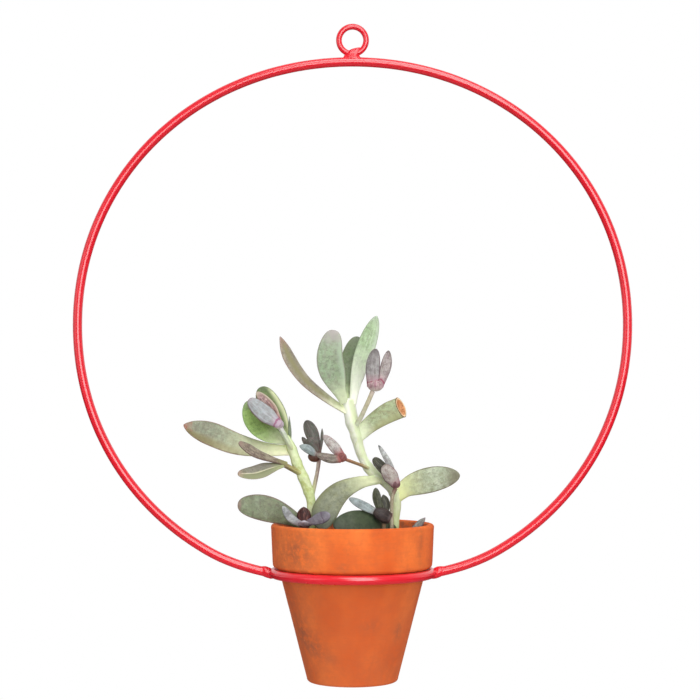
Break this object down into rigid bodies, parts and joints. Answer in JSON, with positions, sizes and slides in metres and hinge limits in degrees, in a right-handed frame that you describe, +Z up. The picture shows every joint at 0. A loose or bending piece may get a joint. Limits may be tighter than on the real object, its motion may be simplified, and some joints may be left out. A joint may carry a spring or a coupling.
{
  "type": "hanging planter",
  "caption": "Hanging planter: a red steel hoop with an eye on top and a ring below that carries a terracotta pot by its collar, planted with a budding succulent.",
  "frame": {"origin": "the hang point: the inside top of the hanging eye, where a hook bears", "axes": "+Z up, +X to the right and -Y towards the viewer when the hoop is seen face on"},
  "size_m": [0.381, 0.1134, 0.4474],
  "materials": {
    "red_paint": "satin red powder coat on steel rod",
    "terracotta": "matte unglazed terracotta, lightly mottled",
    "soil": null,
    "stem": "satin pale green succulent stem; leather stands in for plant flesh",
    "leaf": "matte grey green succulent leaf with brownish edges",
    "petal": "matte lilac grey bud with a reddish base"
  },
  "bodies": {
    "hanger": {"hanging_eye": "red_paint", "eye_weld": "red_paint", "hoop": "red_paint", "left_weld": "red_paint", "right_weld": "red_paint", "pot_ring": "red_paint"},
    "pot": {"pot": "terracotta"},
    "plant": {"soil": "soil", "left_stem": "stem", "right_stem": "stem", "left_bud_stalk": "stem", "side_stalk": "stem", "dark_bud_stalk": "stem", "red_bud_stalk": "stem", "twin_bud_stalk": "stem", "right_bud_stalk": "stem", "lower_bud_stalk": "stem", "open_bud_stalk": "stem", "left_long_leaf": "leaf", "left_back_leaf": "leaf", "left_cupped_leaf": "leaf", "left_spike": "leaf", "brown_edge_leaf": "leaf", "left_folded_leaf": "leaf", "lower_left_leaf": "leaf", "right_long_leaf": "leaf", "round_leaf": "leaf", "dark_leaf": "leaf", "tall_leaf": "leaf", "edge_leaf": "leaf", "cut_leaf": "leaf", "right_leaf": "leaf", "arching_leaf": "leaf", "rim_leaf": "leaf", "sprout": "leaf", "left_bud": "petal", "dark_bud": "petal", "red_bud": "petal", "twin_bud": "petal", "right_bud": "petal", "lower_bud": "petal", "open_bud": "petal"}
  },
  "joints": [
    {"name": "pot_lift", "type": "slide", "parent": "hanger", "child": "pot", "axis": [0, 0, 1], "range_m": [0, 0.076]},
    {"name": "plant_lift", "type": "slide", "parent": "pot", "child": "plant", "axis": [0, 0, 1], "range_m": [0, 0.09]}
  ]
}
